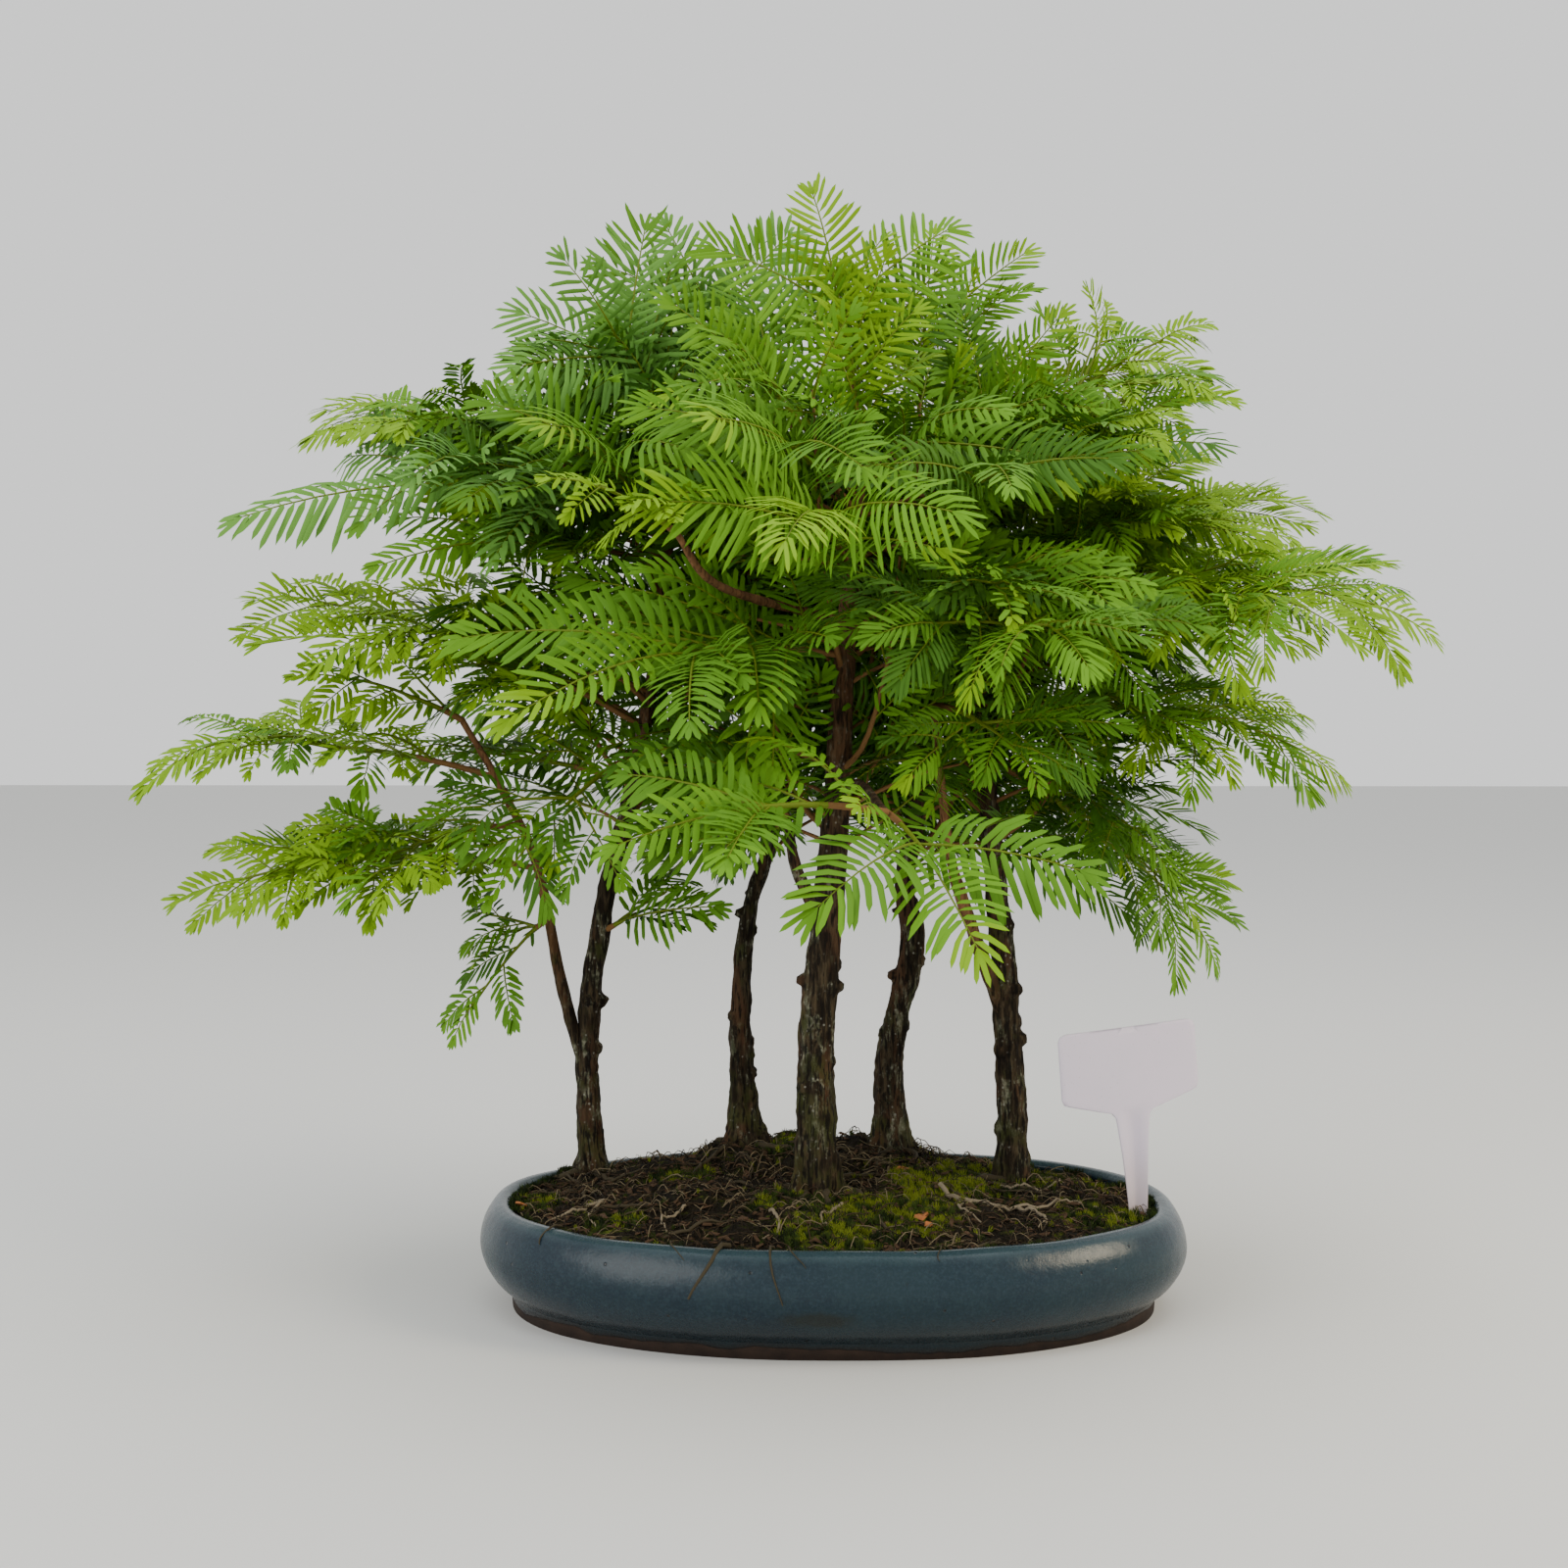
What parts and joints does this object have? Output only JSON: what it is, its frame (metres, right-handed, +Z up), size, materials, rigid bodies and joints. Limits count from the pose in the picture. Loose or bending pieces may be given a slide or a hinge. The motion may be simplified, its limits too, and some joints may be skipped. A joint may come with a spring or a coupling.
{
  "type": "dawn redwood bonsai forest",
  "caption": "Forest bonsai of young dawn redwoods with feathery layered foliage in one oval glazed pot, with a blank plant label.",
  "frame": {"origin": "centre of the pot's flat underside", "axes": "+Z up, +X along the pot's length towards the label, -Y towards the front of the planting"},
  "size_m": [0.5146, 0.3828, 0.4561],
  "materials": {
    "glaze": "speckled blue-grey glaze over brown clay",
    "soil": "rough dark earth with roots and moss",
    "label_plastic": "plain white, no lettering",
    "bark": "flaky brown bark with lichen",
    "young_bark": "smooth reddish-brown young bark",
    "needles": "soft fresh green needles"
  },
  "bodies": {
    "root": {"pot": "glaze", "soil": "soil", "label": "label_plastic", "trunk_left": "bark", "trunk_back_left": "bark", "trunk_front": "bark", "trunk_back_right": "bark", "trunk_right": "bark", "low_bough": "young_bark", "fork_bough": "young_bark", "spur_bough": "young_bark", "front_bough": "young_bark", "slender_bough": "young_bark", "foliage_left_1": "needles", "foliage_left_2": "needles", "foliage_left_3": "needles", "foliage_left_4": "needles", "foliage_left_5": "needles", "foliage_left_6": "needles", "foliage_left_7": "needles", "foliage_left_8": "needles", "foliage_left_9": "needles", "foliage_left_10": "needles", "foliage_low_bough_1": "needles", "foliage_low_bough_2": "needles", "foliage_low_bough_3": "needles", "foliage_low_bough_4": "needles", "foliage_low_bough_5": "needles", "foliage_back_left_1": "needles", "foliage_back_left_2": "needles", "foliage_back_left_3": "needles", "foliage_back_left_4": "needles", "foliage_back_left_5": "needles", "foliage_front_1": "needles", "foliage_front_2": "needles", "foliage_front_3": "needles", "foliage_front_4": "needles", "foliage_front_5": "needles", "foliage_front_6": "needles", "foliage_slender_bough_1": "needles", "foliage_front_bough_1": "needles", "foliage_front_bough_2": "needles", "foliage_spur_bough_1": "needles", "foliage_fork_bough_1": "needles", "foliage_back_right_1": "needles", "foliage_back_right_2": "needles", "foliage_back_right_3": "needles", "foliage_back_right_4": "needles", "foliage_back_right_5": "needles", "foliage_right_1": "needles", "foliage_right_2": "needles", "foliage_right_3": "needles", "foliage_right_4": "needles", "foliage_right_5": "needles", "foliage_right_6": "needles", "foliage_right_7": "needles", "foliage_right_8": "needles", "foliage_right_9": "needles", "foliage_right_10": "needles", "foliage_right_11": "needles"}
  },
  "joints": []
}
